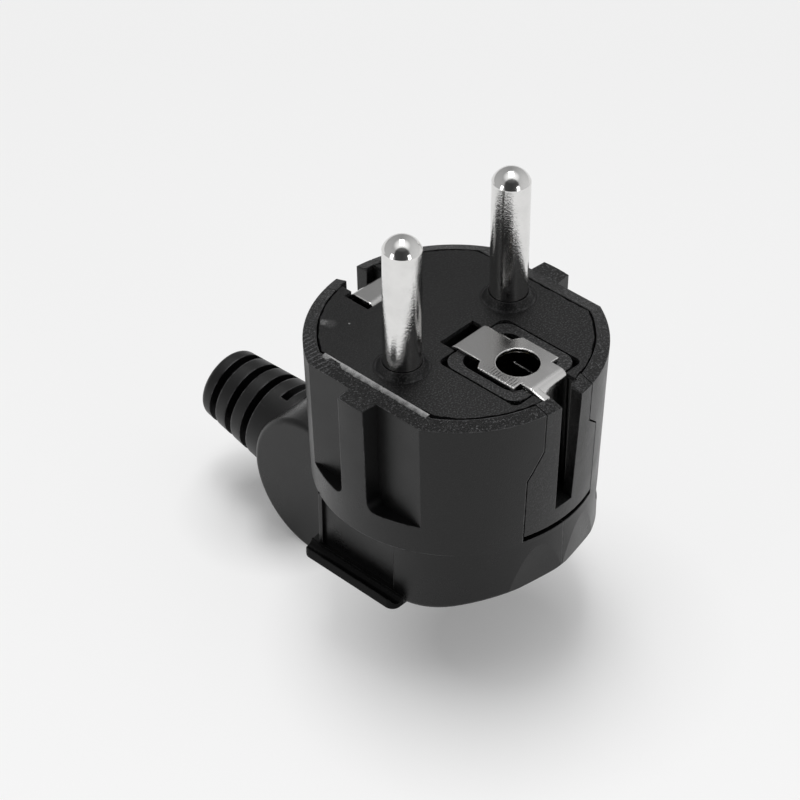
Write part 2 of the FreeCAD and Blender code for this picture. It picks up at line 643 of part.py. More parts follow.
def contact_carrier():
    """Insert with the face plate, the pin bosses, the earth blocks and the well of the earth socket."""
    plate = flatted_circle(SEAM_R - CARRIER_CLEARANCE, SEAM_FLAT_X - CARRIER_CLEARANCE, -PLATE_THICKNESS)
    adds, cuts = on_both_sides(earth_block()), on_both_sides(earth_slot())
    mouth_r = PIN_DIAMETER / 2 + COLLAR_GAP
    for x in centred(PIN_SPACING):
        adds.append(rod(BOSS_DIAMETER / 2, V(x, 0, -PIN_SEAT_DEPTH), V(x, 0, 0)))
        adds.append(Part.makeCone(COLLAR_DIAMETER / 2, mouth_r + COLLAR_EDGE, COLLAR_HEIGHT, V(x, 0, 0)))
        top = V(x, 0, COLLAR_HEIGHT)
        cuts.append(rod(mouth_r, V(x, 0, COLLAR_HEIGHT - COLLAR_MOUTH_DEPTH), top))
        cuts.append(rod(PIN_NECK_DIAMETER / 2 + PIN_CLEARANCE, V(x, 0, -PIN_SEAT_DEPTH), top))
    adds.append(well_box(WELL_WALL, (-WELL_DEPTH, -PLATE_THICKNESS)))
    cuts.append(well_box(0, (-WELL_DEPTH, 0)))
    cuts.append(well_box(FRAME_LEDGE, (-FRAME_THICKNESS, 0), FRAME_POCKET_RADIUS))
    tail = FRONT_TAIL_OFFSET + STRIP_BEND_RADIUS + STRIP_CLEARANCE
    channel = STRIP_WIDTH + 2 * STRIP_CLEARANCE
    cuts.append(box(centred(channel), (-tail, TAIL_WINDOW - tail), (-PLATE_THICKNESS, 0)))
    window = (REAR_TAIL_OFFSET - STRIP_THICKNESS / 2 - STRIP_CLEARANCE, SLOT_HEAD)
    cuts.append(box(centred(REAR_WINDOW_WIDTH), window, (-PLATE_THICKNESS, 0)))
    carrier = Part.Face(plate).extrude(V(0, 0, PLATE_THICKNESS)).fuse(adds)
    return carrier.cut(cuts).removeSplitter()


def earth_well_frame():
    """Pad let into the face round the earth well, which carries the holed plate and is open at its bend."""
    pad = well_box(FRAME_LEDGE - FRAME_GAP, (-FRAME_THICKNESS, 0))
    channel = STRIP_WIDTH + 2 * STRIP_CLEARANCE
    opening = box(centred(channel), (WELL_FRONT - FRAME_LEDGE, WELL_FRONT + WALL), (-FRAME_THICKNESS, 0))
    return pad.cut([well_box(0, (-FRAME_THICKNESS, 0)), opening])


def contact_pin(x):
    """Turned pin: domed tip, neck in its boss, and a head with a wire hole and a tapped cross hole."""
    r = PIN_DIAMETER / 2
    shoulder = PIN_LENGTH - PIN_DOME_HEIGHT
    sphere_r = (r ** 2 + PIN_DOME_HEIGHT ** 2) / (2 * PIN_DOME_HEIGHT)
    pin = rod(r, V(x, 0, PIN_NECK_TOP), V(x, 0, PIN_LENGTH))
    ball = Part.makeSphere(sphere_r, V(x, 0, PIN_LENGTH - sphere_r))
    tip = rod(r, V(x, 0, shoulder), V(x, 0, PIN_LENGTH))
    pin = pin.cut(tip.cut(ball))
    end = -PIN_SEAT_DEPTH - PIN_HEAD_LENGTH
    neck = rod(PIN_NECK_DIAMETER / 2, V(x, 0, -PIN_SEAT_DEPTH), V(x, 0, PIN_NECK_TOP))
    pin = pin.fuse([neck, rod(PIN_HEAD_DIAMETER / 2, V(x, 0, end), V(x, 0, -PIN_SEAT_DEPTH))])
    wire = rod(WIRE_HOLE_DIAMETER / 2, V(x, 0, end), V(x, 0, end + WIRE_HOLE_DEPTH))
    cross = pin_screw_seat(x)
    thread = rod(TERMINAL_SCREW_DIAMETER / 2 + THREAD_CLEARANCE, cross, V(x, 0, cross.z))
    return pin.cut([wire, thread]).removeSplitter()


def pin_screw_seat(x):
    """Where the terminal screw's head meets the flank of a pin's head."""
    return V(x, -PIN_HEAD_DIAMETER / 2, -PIN_SEAT_DEPTH - PIN_HEAD_LENGTH + WIRE_HOLE_DEPTH / 2)


def pin_terminal_screws():
    length = PIN_HEAD_DIAMETER / 2 - PIN_SCREW_TIP
    return Part.makeCompound([
        slotted_screw(
            TERMINAL_SCREW_DIAMETER, length, TERMINAL_SCREW_HEAD_DIAMETER,
            TERMINAL_SCREW_HEAD_HEIGHT, pin_screw_seat(x), V(0, 1, 0),
        )
        for x in centred(PIN_SPACING)
    ])


def rivet_hole(y):
    """Hole for a rivet through the strap, the strip's foot and what lies on them."""
    r = RIVET_DIAMETER / 2 + THREAD_CLEARANCE
    return rod(r, V(0, y, -BLOCK_DEPTH), V(0, y, -WELL_DEPTH))


def earth_strip(tail_offset, top, side):
    """Strip that rises through the face plate, crosses the face and folds down into a slot."""
    path = [
        V(0, side * tail_offset, top - STRIP_TAIL),
        V(0, side * tail_offset, top),
        V(0, side * STRIP_LINE, top),
        V(0, side * STRIP_LINE, -FOOT_LINE),
        V(0, side * FOOT_END, -FOOT_LINE),
    ]
    strip = bent_strip(path, STRIP_BEND_RADIUS, STRIP_THICKNESS, V(STRIP_WIDTH, 0, 0))
    return strip.cut(rivet_hole(side * RIVET_LINE))


def earth_contact_front():
    """Front earth contact: its strip widens on the face to a plate with the earth socket's hole."""
    centre = V(0, -EARTH_HOLE_OFFSET, 0)
    half = EARTH_PLATE_LENGTH / 2
    side = [
        V(STRIP_WIDTH / 2, half + EARTH_PLATE_CORNER, 0),
        V(EARTH_PLATE_WIDTH / 2, half, 0),
        V(EARTH_PLATE_WIDTH / 2, -half, 0),
        V(STRIP_WIDTH / 2, -half, 0),
    ]
    outline = [centre + p for p in side + [V(-p.x, p.y, 0) for p in reversed(side)]]
    plate = prism(outline, V(0, 0, STRIP_THICKNESS))
    strip = earth_strip(FRONT_TAIL_OFFSET, STRIP_THICKNESS / 2, -1)
    hole = rod(EARTH_HOLE_DIAMETER / 2, centre, centre + V(0, 0, STRIP_THICKNESS))
    return strip.fuse([plate, earth_tab()]).cut(hole).removeSplitter()


def earth_tab():
    """Small tab at the left of the front bend, which falls towards the slot."""
    start, end = -STRIP_LINE + STRIP_BEND_RADIUS, -STRIP_LINE - STRIP_THICKNESS / 2 - EARTH_TAB_REACH
    left = V(-STRIP_WIDTH / 2, 0, 0)
    top = [V(0, start, STRIP_THICKNESS), V(0, end, STRIP_THICKNESS - EARTH_TAB_FALL)]
    outline = top + [p - V(0, 0, STRIP_THICKNESS) for p in reversed(top)]
    return prism([left + p for p in outline], V(EARTH_TAB_WIDTH, 0, 0))


def earth_contact_rear():
    return earth_strip(REAR_TAIL_OFFSET, -REAR_STRIP_SINK - STRIP_THICKNESS / 2, 1)


def earth_bridge():
    """Strap that joins the two contacts and the spring, and carries the earth terminal."""
    half = STRIP_LINE - BRIDGE_END_GAP
    strap = box(centred(STRIP_WIDTH), (-half, half), (BRIDGE_BOTTOM, BRIDGE_TOP))
    screw = V(0, EARTH_SCREW_OFFSET, BRIDGE_BOTTOM)
    thread = rod(TERMINAL_SCREW_DIAMETER / 2 + THREAD_CLEARANCE, screw, screw + V(0, 0, BRIDGE_THICKNESS))
    return strap.cut([rivet_hole(-RIVET_LINE), rivet_hole(RIVET_LINE), thread])


def earth_socket_spring():
    """Two-leaf spring that grips the socket's earth pin, in one piece with its foot on the bridge."""
    grip = EARTH_HOLE_DIAMETER / 2 + SPRING_GRIP_GAP + SPRING_THICKNESS / 2
    root, y = SPRING_SPREAD / 2, SPRING_SHIFT - EARTH_HOLE_OFFSET
    leaf = [
        V(SPRING_TOP_SPREAD / 2, y, -SPRING_TOP_DEPTH),
        V(grip, y, -SPRING_GRIP_DEPTH),
        V(root, y, -SPRING_ROOT_DEPTH),
        V(root, y, BRIDGE_TOP + SPRING_THICKNESS / 2),
    ]
    path = leaf + [V(-p.x, p.y, p.z) for p in reversed(leaf)]
    spring = bent_strip(path, SPRING_BEND_RADIUS, SPRING_THICKNESS, V(0, SPRING_WIDTH, 0))
    return spring.cut(rivet_hole(-RIVET_LINE))


def rivet(y, top):
    """Rivet from below the strip's foot to the top of what it holds."""
    bottom = V(0, y, -FOOT_LINE - STRIP_THICKNESS / 2)
    head = V(0, 0, RIVET_HEAD_HEIGHT)
    top = V(0, y, top)
    shank = rod(RIVET_DIAMETER / 2, bottom, top)
    head_r = RIVET_HEAD_DIAMETER / 2
    heads = [rod(head_r, bottom - head, bottom), rod(head_r, top, top + head)]
    return shank.fuse(heads).removeSplitter()


def earth_terminal():
    """Screw, clamp washer and square nut of the earth terminal, through the bridge."""
    under = V(0, EARTH_SCREW_OFFSET, BRIDGE_BOTTOM)
    seat = under - V(0, 0, EARTH_WASHER_THICKNESS)
    screw = slotted_screw(
        TERMINAL_SCREW_DIAMETER, EARTH_SCREW_LENGTH, TERMINAL_SCREW_HEAD_DIAMETER,
        TERMINAL_SCREW_HEAD_HEIGHT, seat, V(0, 0, 1),
    )
    thread = rod(TERMINAL_SCREW_DIAMETER / 2 + THREAD_CLEARANCE, seat, seat + V(0, 0, BARREL_DEPTH))

    def square(width, z):
        y = (EARTH_SCREW_OFFSET - width / 2, EARTH_SCREW_OFFSET + width / 2)
        return box(centred(width), y, z).cut(thread)

    washer = square(EARTH_WASHER_WIDTH, (seat.z, BRIDGE_BOTTOM))
    nut = square(EARTH_NUT_WIDTH, (BRIDGE_TOP, BRIDGE_TOP + EARTH_NUT_THICKNESS))
    return screw, washer, nut


def main():
    left_shell, right_shell = housing_shells()
    earth_screw, earth_washer, earth_nut = earth_terminal()
    left_x, right_x = centred(PIN_SPACING)
    nodes = {
        "left_shell": left_shell,
        "right_shell": right_shell,
        "housing_screws": housing_screws(),
        "contact_carrier": contact_carrier(),
        "earth_well_frame": earth_well_frame(),
        "contact_pin_left": contact_pin(left_x),
        "contact_pin_right": contact_pin(right_x),
        "pin_terminal_screws": pin_terminal_screws(),
        "earth_contact_front": earth_contact_front(),
        "earth_contact_rear": earth_contact_rear(),
        "earth_bridge": earth_bridge(),
        "earth_socket_spring": earth_socket_spring(),
        "front_rivet": rivet(-RIVET_LINE, BRIDGE_TOP + SPRING_THICKNESS),
        "rear_rivet": rivet(RIVET_LINE, BRIDGE_TOP),
        "earth_terminal_screw": earth_screw,
        "earth_clamp_washer": earth_washer,
        "earth_terminal_nut": earth_nut,
        "cord_clamp": cord_clamp(),
        "cord_clamp_screws": cord_clamp_screws(),
        "cable_boot": cable_boot(),
    }
    os.makedirs("parts", exist_ok=True)
    for name, shape in nodes.items():
        shape.exportStep(f"parts/{name}.step")


if __name__ == "__main__":
    main()
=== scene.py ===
import math

import bpy
import numpy as np
from bpy.props import FloatProperty, FloatVectorProperty, PointerProperty
from bpy.types import Operator, Panel, PropertyGroup
from mathutils import Matrix, Vector


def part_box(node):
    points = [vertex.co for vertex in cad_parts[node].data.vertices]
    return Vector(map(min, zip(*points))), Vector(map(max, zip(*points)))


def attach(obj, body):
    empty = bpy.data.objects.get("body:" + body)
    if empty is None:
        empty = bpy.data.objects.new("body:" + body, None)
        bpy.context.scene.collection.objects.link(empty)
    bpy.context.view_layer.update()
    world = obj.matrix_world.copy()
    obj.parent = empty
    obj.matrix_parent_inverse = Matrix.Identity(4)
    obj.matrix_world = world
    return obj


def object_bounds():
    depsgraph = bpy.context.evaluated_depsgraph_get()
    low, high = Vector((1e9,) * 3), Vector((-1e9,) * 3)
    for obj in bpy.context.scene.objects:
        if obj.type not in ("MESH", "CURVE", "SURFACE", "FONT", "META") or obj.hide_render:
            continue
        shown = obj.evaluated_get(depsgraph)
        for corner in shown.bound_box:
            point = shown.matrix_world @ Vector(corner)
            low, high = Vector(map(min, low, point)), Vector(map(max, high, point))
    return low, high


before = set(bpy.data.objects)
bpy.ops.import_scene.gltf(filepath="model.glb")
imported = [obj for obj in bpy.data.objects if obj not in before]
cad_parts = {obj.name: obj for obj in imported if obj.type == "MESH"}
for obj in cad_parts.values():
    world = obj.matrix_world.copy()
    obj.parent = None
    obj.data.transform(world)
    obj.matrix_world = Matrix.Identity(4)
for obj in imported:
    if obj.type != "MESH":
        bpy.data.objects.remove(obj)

bl_info = {
    "name": "Type F plug looks",
    "version": (1, 2, 0),
    "blender": (4, 5, 0),
    "location": "View3D > Sidebar > Plug",
    "description": "Finishes, moulding flash and studio stage for the plug",
    "category": "Object",
}

MM = 0.001
TURN = 2.0 * math.pi
CAD_BOX = [list(corner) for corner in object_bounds()]
FLOOR_LEVEL = CAD_BOX[0][2]

# Pins: how far each stands from the middle, and where the shank ends and the dome begins
PIN_LOW, PIN_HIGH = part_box("contact_pin_right")
PIN_PLACE = 0.5 * (PIN_LOW.x + PIN_HIGH.x)
SHANK_END = PIN_HIGH.z - 1.8 * MM
DOME_START = PIN_HIGH.z - 1.5 * MM

# Plastic: sizes of its clouds and specks, and where its grain fades to the rear and below the face
CLOUD_SIZE = 7.0 * MM
SPECK_SIZE = 0.42 * MM
REAR_FADE = (-6.0 * MM, 3.0 * MM)
LOW_FADE = (-1.0 * MM, -0.6 * MM)

# How many times paler than the plastic its specks, crumbs, collar rings and outer edges are; the collar
# rings and outer edges are partly wear and partly painted highlight
SPECK_PALER = 8.0
CRUMB_PALER = 27.0
COLLAR_PALER = 28.0
RUB_AND_HIGHLIGHT_PALER = 40.0

# Rim of the housing: the heights of its crumbly band, and the saw marks on its left rear part
RIM_BAND = (-0.60 * MM, -0.05 * MM)
RIM_SOFT = 0.03 * MM
CRUMB_SIZE = 0.24 * MM
SAW_PITCH = 0.80 * MM
SAW_SLANT = 2.0 * MM
SAW_SIDE = (-12.0 * MM, -13.0 * MM)
SAW_REACH = (6.5 * MM, 14.0 * MM)
SAW_SOFT = 0.5 * MM

# Finger lips: how far out they begin, how high they end, and their share of plain black, which is painted
# shade
LIP_START = (16.2 * MM, 16.4 * MM)
LIP_TOP = (-28.5 * MM, -28.3 * MM)
LIP_PAINTED_SHADE = 0.78

# Face of the carrier: its seam is a circle with two flats, along which a line of painted shade runs, its
# collars have a paler ring of wear and painted highlight, and it has three scuffs
SEAM_RADIUS = 16.80 * MM
SEAM_FLAT = 14.10 * MM
SEAM_TORN = Vector((-14.0, -9.2, 0.0)) * MM
SEAM_TORN_SIZE = 1.5 * MM
FACE_DULL = 0.28
FACE_LEVEL = (-0.3 * MM, -0.2 * MM)
COLLAR_EDGE = 3.3 * MM
COLLAR_WEAR_AND_HIGHLIGHT = (COLLAR_EDGE - 0.12 * MM, COLLAR_EDGE)
COLLAR_GROOVE = (COLLAR_EDGE + 0.05 * MM, COLLAR_EDGE + 0.18 * MM)
SCUFF_COLOUR = (0.35, 0.35, 0.35, 1.0)
SCUFFS = (
    (Vector((-9.75, 13.0, 0.0)) * MM, 0.35 * MM, 0.5),
    (Vector((-9.4, 12.2, 0.0)) * MM, 0.5 * MM, 0.15),
    (Vector((-7.76, 10.5, 0.0)) * MM, 0.09 * MM, 1.0),
)

# Earth plate: the stamped ribs beside its hole, and the stretch over which a painted highlight makes it
# paler to the front
RIB_PITCH = 0.42 * MM
RIBS_ACROSS = (-4.0 * MM, -2.9 * MM)
RIBS_ALONG = (-12.6 * MM, -7.4 * MM)
FRONT_HIGHLIGHT = (-15.0 * MM, -9.0 * MM)

# Seam flash: its inner edge and foot, the fall of the rim beside it, and its waves along the seam; the
# broken stretch and the crack are places along the seam in millimetres
FLASH_INNER = -13.94 * MM
FLASH_OUTER = -14.6 * MM
FLASH_FOOT = 0.06 * MM
FLASH_STATIONS = 260
FLASH_SIDES = 20
RIM_EDGE = 14.25 * MM
RIM_SLOPE = 0.56 / 2.05
WAVES = ((1.7, 0.0), (4.1, 1.0), (9.7, 0.0), (17.3, 0.0))
BROKEN_FRONT = 5.2
BROKEN_REAR = 7.7
CRACK = -1.1

# Camera fitted to the photograph
VIEW_AZIMUTH = math.radians(-46.497)
VIEW_ELEVATION = math.radians(39.019)
VIEW_ROLL = math.radians(-0.202)
VIEW_PLACE = (-0.204125, -0.184297, 0.212074)
SENSOR_WIDTH = 36.0

# Studio: the floor's reach, where it fades as painted shade, the middles of the shadows painted on it by
# holding back its glow and how far they spread, the rays that see its painted glow, and each lamp's name,
# place, size and watts
FLOOR_REACH = 4.0
FLOOR_FADE = (-0.10, 0.05)
SHADOW_PLACE = (-0.003, -0.011, FLOOR_LEVEL)
SHADOW_REACH = (0.008, 0.031)
ELBOW_SHADOW_PLACE = (-0.005, 0.0275, FLOOR_LEVEL)
ELBOW_SHADOW_REACH = (0.006, 0.014)
SEEN_RAYS = ("Is Camera Ray", "Is Glossy Ray", "Is Transmission Ray")
LAMP_AIM = Vector((0.0, 0.0, -0.01))
LAMPS = (
    ("key", Vector((0.19, 0.20, 0.961)) * 0.75, (0.24, 0.45), 2.2),
    ("left_lamp", Vector((-0.931, 0.235, 0.278)) * 0.5, (0.13, 0.19), 0.22),
    ("right_lamp", Vector((-0.12, -0.933, 0.339)) * 0.5, (0.13, 0.19), 0.22),
)


def colour(name, description, default):
    """Property for the colour of a finish."""
    return FloatVectorProperty(
        name=name, description=description, subtype="COLOR", default=default, min=0.0, max=1.0)


def length(name, description, default, **limits):
    """Property for a size or a place."""
    return FloatProperty(name=name, description=description, unit="LENGTH", default=default, **limits)


class PlugColours(PropertyGroup):
    """Colours of the finishes."""

    shell: colour("Shell", "Moulded plastic of the half shells", (0.0032, 0.0032, 0.0033))
    carrier: colour("Carrier", "Moulded plastic of the contact carrier", (0.0028, 0.0028, 0.0029))
    boot: colour("Boot", "Soft plastic of the cable boot", (0.0030, 0.0030, 0.0031))
    flash: colour("Flash", "Scraped plastic along the left seam", (0.24, 0.24, 0.24))
    nickel: colour("Nickel", "Plating of the pins", (0.77, 0.765, 0.755))
    strip: colour("Earth strip", "Rolled strip of the earth contacts", (0.56, 0.555, 0.55))
    brass: colour("Brass", "Bridge, rivets and nut", (0.72, 0.55, 0.27))
    steel: colour("Steel", "Zinc plate of the screws", (0.60, 0.60, 0.61))
    floor: colour("Floor", "Paper of the studio floor", (0.925, 0.925, 0.925))


class PlugSizes(PropertyGroup):
    """Sizes of the grain, of the flash and of the view."""

    grain: length("Grain", "Size of the moulded grain", 0.16 * MM, min=0.01 * MM)
    edge: length("Edge", "Rounding of the moulded edges", 0.22 * MM, min=0.0)
    flash_front: length("Flash front", "Place of the flash's front end along the seam", -8.55 * MM)
    flash_rear: length("Flash rear", "Place of the flash's rear end along the seam", 8.5 * MM)
    flash_width: length("Flash width", "Width of the flash", 0.74 * MM, min=0.0)
    flash_height: length("Flash height", "Height of the flash above the seam", 0.10 * MM, min=0.0)
    lens: FloatProperty(
        name="Lens", description="Focal length of the camera", unit="CAMERA", default=128.96, min=1.0)


def connect(node, values):
    """Fills a node's inputs by name or number: a socket is linked, and a plain value is set."""
    for key, value in values.items():
        if isinstance(value, Socket):
            node.id_data.links.new(value.out, node.inputs[key])
        else:
            node.inputs[key].default_value = value


class Socket:
    """Output of a shader node: arithmetic on it adds Math nodes, and node() adds any other node.

    A Mix node has sockets for each kind of data: colours take inputs 6 and 7 and output 2, and vectors
    take inputs 4 and 5 and output 1.
    """

    def __init__(self, tree, out=None):
        self.tree = tree
        self.out = out

    def node(self, kind, pick=0, values=None, **settings):
        """Adds a node of a type, with its settings and then its inputs, and gives one of its outputs."""
        made = self.tree.nodes.new("ShaderNode" + kind)
        for key, value in settings.items():
            setattr(made, key, value)
        connect(made, values or {})
        return Socket(self.tree, made.outputs[pick])

    def math(self, operation, *operands):
        """Math node on the given values and sockets."""
        return self.node("Math", operation=operation, values=dict(enumerate(operands)))

    def __add__(self, other):
        return self.math("ADD", self, other)

    def __radd__(self, other):
        return self.math("ADD", other, self)

    def __sub__(self, other):
        return self.math("SUBTRACT", self, other)

    def __rsub__(self, other):
        return self.math("SUBTRACT", other, self)

    def __mul__(self, other):
        return self.math("MULTIPLY", self, other)

    def __rmul__(self, other):
        return self.math("MULTIPLY", other, self)

    def ramp(self, low, high, start=0.0, end=1.0):
        """Straight ramp from start at low to end at high, held outside."""
        return self.node(
            "MapRange", clamp=True, values={0: self, 1: low, 2: high, 3: start, 4: end})

    def within(self, low, high, soft):
        """One between low and high, falling to zero over a soft margin outside."""
        return self.ramp(low - soft, low) * self.ramp(high, high + soft, 1.0, 0.0)

    def mix(self, first, second):
        """Colour from the first to the second by this socket."""
        return self.node("Mix", pick=2, data_type="RGBA", values={0: self, 6: first, 7: second})

    def xyz(self):
        """The three coordinates of this vector."""
        return [self.node("SeparateXYZ", pick=axis, values={0: self}) for axis in "XYZ"]

    def distance(self, point):
        """Distance of this vector from a point."""
        return self.node("VectorMath", pick="Value", operation="DISTANCE", values={0: self, 1: point})

    def dot(self, other):
        """Dot product of this vector and another."""
        return self.node("VectorMath", pick="Value", operation="DOT_PRODUCT", values={0: self, 1: other})

    def spot(self, centre, radius):
        """One in a small ball round a point, falling to zero at twice its radius."""
        return self.distance(centre).ramp(radius, 2.0 * radius, 1.0, 0.0)

    def noise(self, size, detail, roughness=0.5):
        """Noise over these coordinates, with features of about the given size."""
        return self.node("TexNoise", values={
            "Vector": self, "Scale": 1.0 / size, "Detail": detail, "Roughness": roughness})

    def bump(self, strength, depth, normal):
        """Normal that this height gives to a surface with the given normal."""
        return self.node("Bump", values={
            "Strength": strength, "Distance": depth, "Height": self, "Normal": normal})


def rgba(tint, paler=1.0):
    """Colour with its alpha, made paler by a factor."""
    return (*[min(1.0, channel * paler) for channel in tint], 1.0)


def new_material(name):
    """Empty material, and the Object coordinates that its patterns read."""
    material = bpy.data.materials.new(name)
    material.use_nodes = True
    material.node_tree.nodes.clear()
    return material, Socket(material.node_tree).node("TexCoord", pick="Object")


def finished(material, shader):
    """The material, with the shader at its output."""
    connect(material.node_tree.nodes.new("ShaderNodeOutputMaterial"), {0: shader})
    return material


def outer_edges(place, radius):
    """Normal rounded over the outer edges alone, and a mask that is one along them.

    An inner corner is not open to the air and keeps its flat normal, so that no bright line runs in it.
    """
    rounded = place.node("Bevel", samples=6, values={"Radius": radius})
    flat = place.node("NewGeometry", pick="Normal")
    air = place.node(
        "AmbientOcclusion", pick="AO", samples=6, only_local=True, values={"Distance": 4.0 * radius})
    open_air = air.ramp(0.80, 0.95)
    normal = place.node("Mix", pick=1, data_type="VECTOR", values={0: open_air, 4: flat, 5: rounded})
    return normal, (1.0 - rounded.dot(flat)).ramp(0.02, 0.22) * open_air


def crumbly_rim(place, tint, crumbs, cloud, base, rough, height):
    """Colour, roughness and height with the crumbs of the rim and the slanted saw marks across it."""
    x, y, z = place.xyz()
    rim = z.within(*RIM_BAND, RIM_SOFT)
    crumb = place.noise(CRUMB_SIZE, detail=2.0, roughness=0.75).ramp(0.36, 0.66)
    saw = place.math("SINE", y * (TURN / SAW_PITCH) + x * (TURN / SAW_SLANT) + 3.0 * cloud)
    saw = rim * saw.ramp(0.1, 0.8) * x.ramp(*SAW_SIDE) * y.within(*SAW_REACH, SAW_SOFT)
    base = (rim * crumb.ramp(0.62, 0.98)).mix(base, rgba(tint, CRUMB_PALER))
    base = (saw * crumb).mix(base, rgba(tint, RUB_AND_HIGHLIGHT_PALER))
    return base, rough + rim * 0.12, height + rim * crumb * crumbs + saw * (2.0 * crumbs)


def face_wear(place, tint, fine, broad, base, height):
    """Colour and height with the scuffs of the face, and round each collar a paler ring of wear and painted
    highlight and a fine groove.
    """
    x, y, _ = place.xyz()
    for centre, radius, paler in SCUFFS:
        scuff = place.spot(centre, radius) * paler * fine.ramp(0.35, 0.55)
        base = scuff.mix(base, SCUFF_COLOUR)
    flat = place.node("CombineXYZ", values={0: x, 1: y})
    for pin in (-PIN_PLACE, PIN_PLACE):
        away = flat.distance((pin, 0.0, 0.0))
        # Paler ring at each collar's edge: partly wear, partly a painted highlight
        wear_and_highlight = away.within(*COLLAR_WEAR_AND_HIGHLIGHT, 0.06 * MM) * broad.ramp(0.42, 0.62)
        base = (wear_and_highlight * 0.7).mix(base, rgba(tint, COLLAR_PALER))
        height = height - 5.0 * away.within(*COLLAR_GROOVE, 0.04 * MM)
    return base, height


def face_dull_and_seam_shade(place, broad):
    """Share of plain black on the face: a ragged line of painted shade along the inside of its seam, and
    less all over.
    """
    x, y, z = place.xyz()
    wide = 0.08 + 0.18 * broad.ramp(0.35, 0.65) + 0.24 * place.spot(SEAM_TORN, SEAM_TORN_SIZE)
    away = place.math("SQRT", x * x + y * y)
    beyond = place.math("MAXIMUM", away - SEAM_RADIUS, place.math("ABSOLUTE", x) - SEAM_FLAT)
    # A ragged line of plain black along the seam: painted shade of the seam's gap
    line = (beyond + wide * MM).ramp(0.0, 0.05 * MM) * beyond.ramp(0.0, 0.03 * MM, 1.0, 0.0)
    inside = FACE_DULL * beyond.ramp(-0.02 * MM, 0.02 * MM, 1.0, 0.0)
    return place.math("MAXIMUM", line, inside) * z.ramp(*FACE_LEVEL)


def moulded_plastic(name, tint, grain, edge, roughness, strength, speckle=3.0, specular=0.32,
                    crumbs=0.0, face=False):
    """Moulded plastic: fine grain, faint clouds and specks, outer edges made paler by wear and a painted
    highlight, and finger lips darkened by painted shade.

    strength is the bump's, speckle says how many times paler the tips of the grain are, crumbs is the
    height of a crumbly rim, and face adds the wear and painted highlights of the carrier's face and the
    painted shade along its seam.
    """
    material, place = new_material(name)
    x, y, z = place.xyz()
    fine = place.noise(grain, detail=3.0, roughness=0.6)
    broad = place.noise(grain * 9.0, detail=3.0, roughness=0.55)
    cloud = place.noise(CLOUD_SIZE, detail=4.0, roughness=0.6)
    specks = place.noise(SPECK_SIZE, detail=1.0).ramp(0.70, 0.80)
    tips = place.noise(grain * 1.2, detail=1.0).ramp(0.50, 0.68)
    tips = tips * y.ramp(*REAR_FADE, 1.0, 0.30) * z.ramp(*LOW_FADE, 0.35, 1.0)
    rounded, rub_and_highlight = outer_edges(place, edge)
    base = place.node("Mix", pick=2, data_type="RGBA", blend_type="MULTIPLY", values={
        0: 1.0, 6: rgba(tint), 7: 0.75 + 0.5 * cloud})
    base = (specks * 0.3).mix(base, rgba(tint, SPECK_PALER))
    base = tips.mix(base, rgba(tint, speckle))
    rough = roughness + 0.30 * (cloud - 0.5) + 0.10 * (fine - 0.5)
    height = fine * 0.9 + broad * 0.4
    # Finger lips mostly plain black: painted shade in place of their reflections
    dull_and_shade = place.math("ABSOLUTE", x).ramp(*LIP_START, 0.0, LIP_PAINTED_SHADE) * z.ramp(*LIP_TOP, 1.0, 0.0)
    if crumbs:
        base, rough, height = crumbly_rim(place, tint, crumbs, cloud, base, rough, height)
    # Outer edges paler: partly wear, partly a painted highlight along them
    base = (rub_and_highlight * broad.ramp(0.38, 0.60)).mix(base, rgba(tint, RUB_AND_HIGHLIGHT_PALER))
    if face:
        base, height = face_wear(place, tint, fine, broad, base, height)
        dull_and_shade = place.math("MAXIMUM", dull_and_shade, face_dull_and_seam_shade(place, broad))
    glossy = place.node("BsdfPrincipled", values={
        "Base Color": base, "Roughness": rough, "Specular IOR Level": specular,
        "Normal": height.bump(strength, depth=0.05 * MM, normal=rounded)})
    black = place.node("BsdfDiffuse", values={0: rgba(tint)})
    return finished(material, place.node("MixShader", values={0: dull_and_shade, 1: glossy, 2: black}))


def bright_nickel(name, tint, edge):
    """Bright plating: fine grain and drawn scratches on the shank, and a faint cloud of dulling."""
    material, place = new_material(name)
    shank = place.xyz()[2].ramp(SHANK_END, DOME_START, 1.0, 0.12)
    drawn = place.node("Mapping", values={"Vector": place, "Scale": (1.0, 1.0, 0.05)})
    scratches = drawn.noise(size=0.12 * MM, detail=3.0, roughness=0.7)
    grain = place.noise(size=0.24 * MM, detail=2.0, roughness=0.6)
    cloud = place.noise(size=2.6 * MM, detail=4.0, roughness=0.65)
    height = shank * (grain * 0.8 + scratches * 0.25)
    rounded = place.node("Bevel", samples=6, values={"Radius": edge})
    return finished(material, place.node("BsdfPrincipled", values={
        "Base Color": cloud.ramp(0.35, 0.75).mix(rgba(tint), rgba(tint, 0.93)), "Metallic": 1.0,
        "Roughness": 0.07 + 0.10 * cloud.ramp(0.42, 0.78) + 0.04 * grain.ramp(0.5, 0.75),
        "Normal": height.bump(strength=0.6, depth=0.05 * MM, normal=rounded)}))


